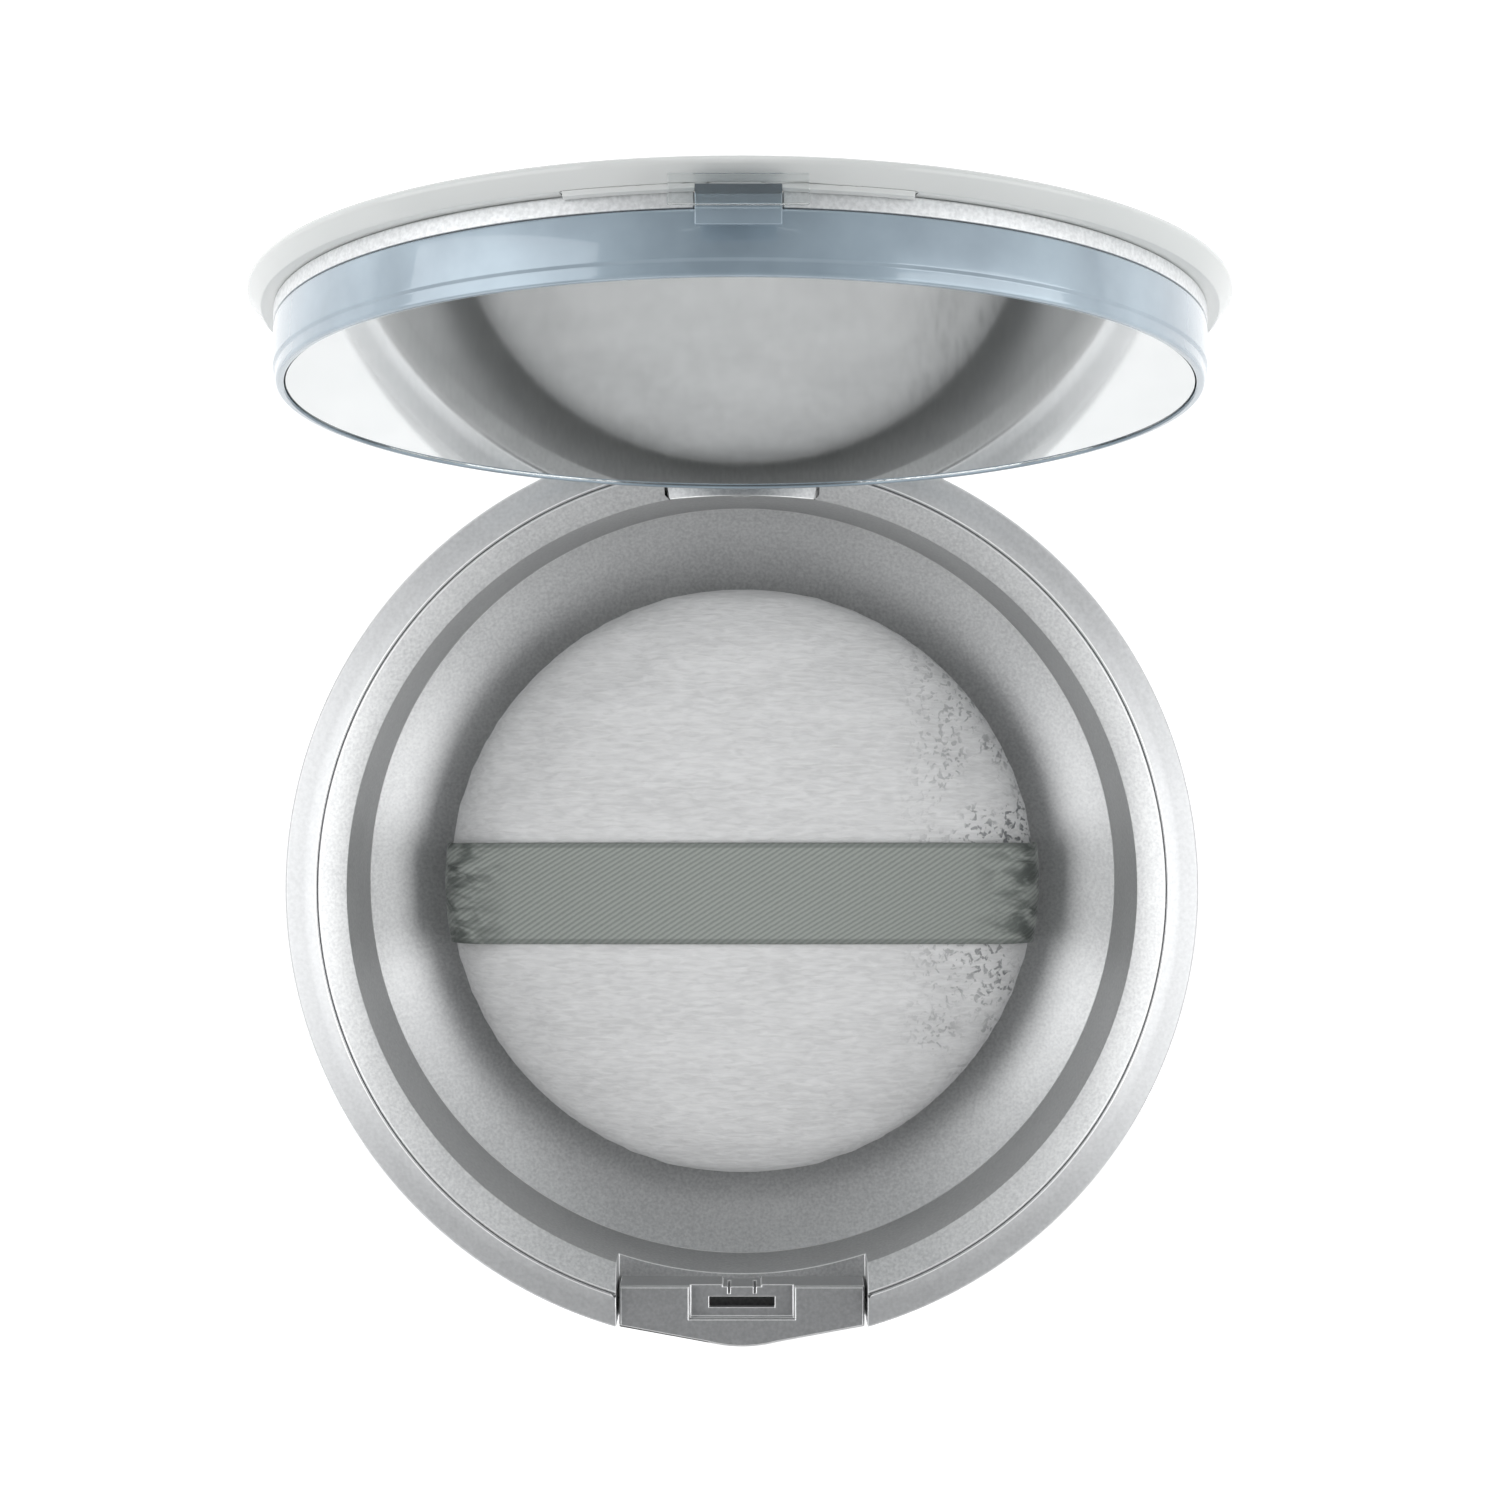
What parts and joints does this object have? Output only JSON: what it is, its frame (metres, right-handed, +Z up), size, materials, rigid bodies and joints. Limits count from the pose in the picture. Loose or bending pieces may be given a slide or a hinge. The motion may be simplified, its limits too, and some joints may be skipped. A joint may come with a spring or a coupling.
{
  "type": "powder compact",
  "caption": "Round two-level powder compact, open: deep base with a ribboned puff, tray with mirror below and pressed powder above, clear lid, and press-button latch.",
  "frame": {"origin": "centre of the base's foot ring, on the surface it stands on", "axes": "+Z up, +Y towards the hinge, front with the release button at -Y, X along the hinge pin"},
  "size_m": [0.08, 0.09, 0.0953],
  "materials": {
    "silver_lacquer": "fine-grained satin silver lacquer on moulded plastic",
    "liner_silver": "sparkling satin silver lacquer on moulded plastic",
    "button_silver": "satin silver lacquer on moulded plastic",
    "label_paper": "coated blank label",
    "steel": "drawn wire",
    "puff_velour": "short-pile velour",
    "puff_foam": "soft wadding",
    "puff_flock": "cotton flock",
    "satin_ribbon": "twill-woven satin ribbon",
    "blue_lacquer": "glossy pearl blue-grey plastic",
    "mirror_glass": "silvered glass",
    "foam_tape": "double-sided foam tape",
    "adhesive": "hot-melt adhesive",
    "pan_aluminium": "drawn aluminium",
    "powder": "pressed cosmetic powder",
    "collar_white_silver": "satin white-silver lacquer",
    "clear_acrylic": "clear acrylic"
  },
  "bodies": {
    "base": {"base_shell": "silver_lacquer", "bowl_liner": "liner_silver", "base_label": "label_paper", "hinge_pin": "steel", "spring_left": "steel", "spring_right": "steel"},
    "button": {"release_button": "button_silver"},
    "puff": {"puff_grip_face": "puff_velour", "puff_core": "puff_foam", "puff_powder_face": "puff_flock", "puff_ribbon": "satin_ribbon"},
    "tray": {"tray_ring": "blue_lacquer", "tray_mirror": "mirror_glass", "mirror_tape": "foam_tape", "pan_adhesive": "adhesive", "powder_pan": "pan_aluminium", "pressed_powder": "powder", "tray_collar": "collar_white_silver"},
    "lid": {"lid_window": "clear_acrylic"}
  },
  "joints": [
    {"name": "tray_hinge", "type": "hinge", "parent": "base", "child": "tray", "pos_m": [0, 0.0376, 0.021], "axis": [1, 0, 0], "range_deg": [0, 95.9]},
    {"name": "lid_hinge", "type": "hinge", "parent": "tray", "child": "lid", "pos_m": [0, 0.0376, 0.021], "axis": [-1, 0, 0], "range_deg": [0, 85]},
    {"name": "button_press", "type": "slide", "parent": "base", "child": "button", "axis": [0, 1, 0], "range_m": [0, 0.0004], "stiffness_N_per_m": 600, "springref_m": -0.001},
    {"name": "puff_lift", "type": "slide", "parent": "base", "child": "puff", "axis": [0, 0, 1], "range_m": [0, 0.03]}
  ]
}
